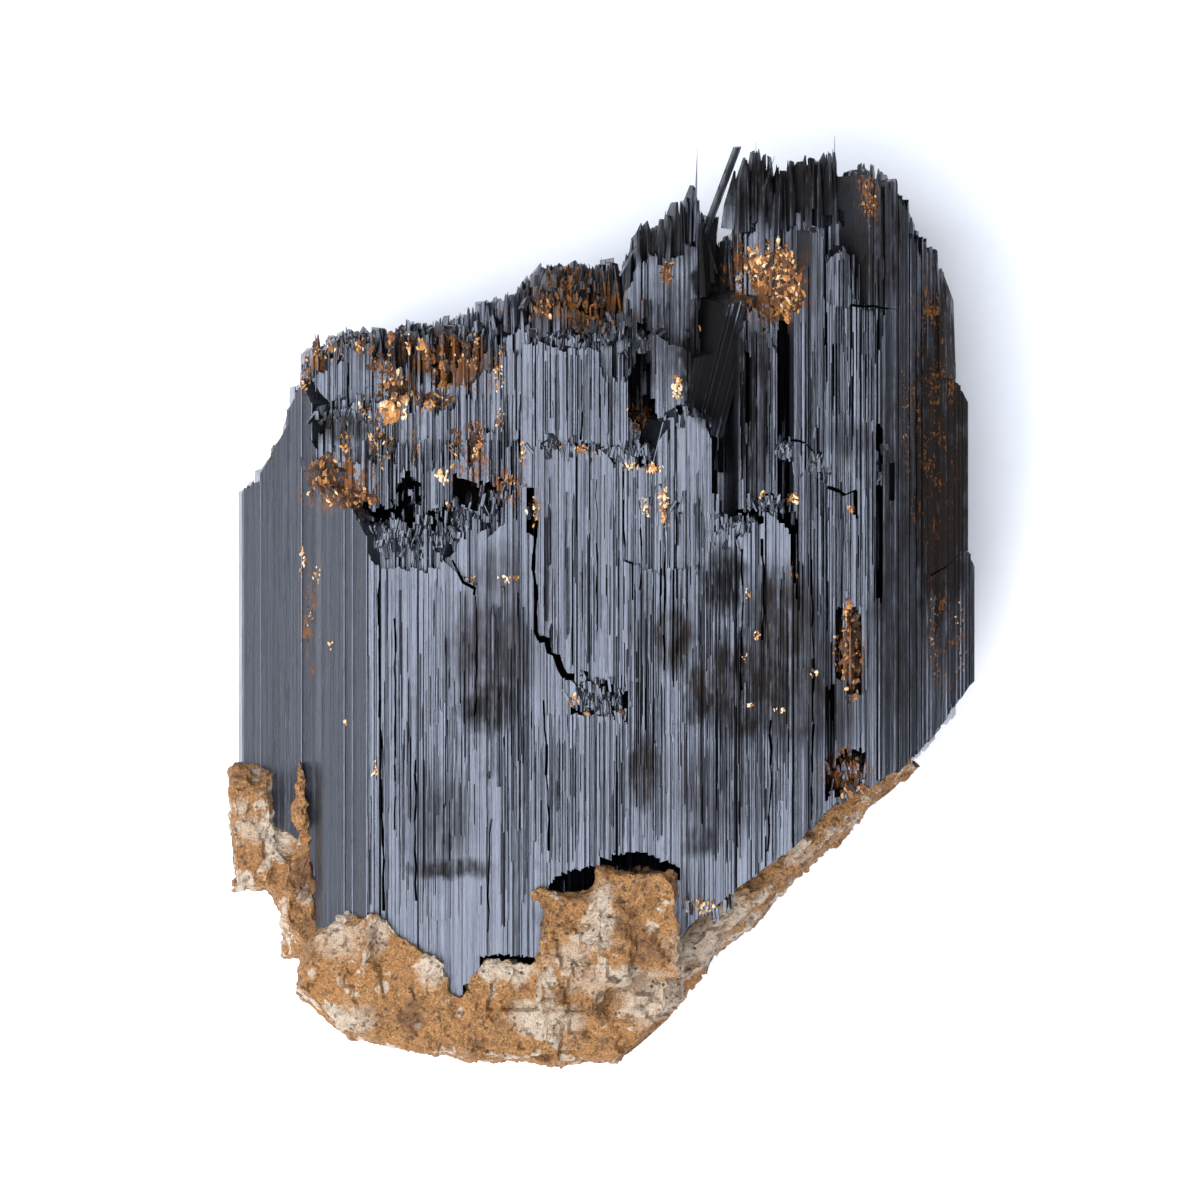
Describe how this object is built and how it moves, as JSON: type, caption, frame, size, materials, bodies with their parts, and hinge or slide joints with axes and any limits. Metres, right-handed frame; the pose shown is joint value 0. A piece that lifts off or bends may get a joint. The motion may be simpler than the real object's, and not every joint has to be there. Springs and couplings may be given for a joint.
{
  "type": "aegirine crystal group on feldspar matrix",
  "caption": "Loose hand specimen of parallel, striated black aegirine crystals with a splintered upper end, rooted in cream and ochre feldspar rock.",
  "frame": {"origin": "middle of the bounding outline on the plane that the specimen lies on", "axes": "+Z out of the broad striated front face, +Y along the crystals towards their splintered ends, +X to the right of the front face"},
  "size_m": [0.0588, 0.0716, 0.0316],
  "materials": {
    "aegirine": "vitreous black prism faces with fine striae along the crystals, blue-grey sheen, dull where stained",
    "feldspar": "rough broken feldspar, cream to whitish, dusted with ochre iron oxide and small black specks"
  },
  "bodies": {
    "root": {"aegirine_crystal": "aegirine", "feldspar_matrix": "feldspar"}
  },
  "joints": []
}
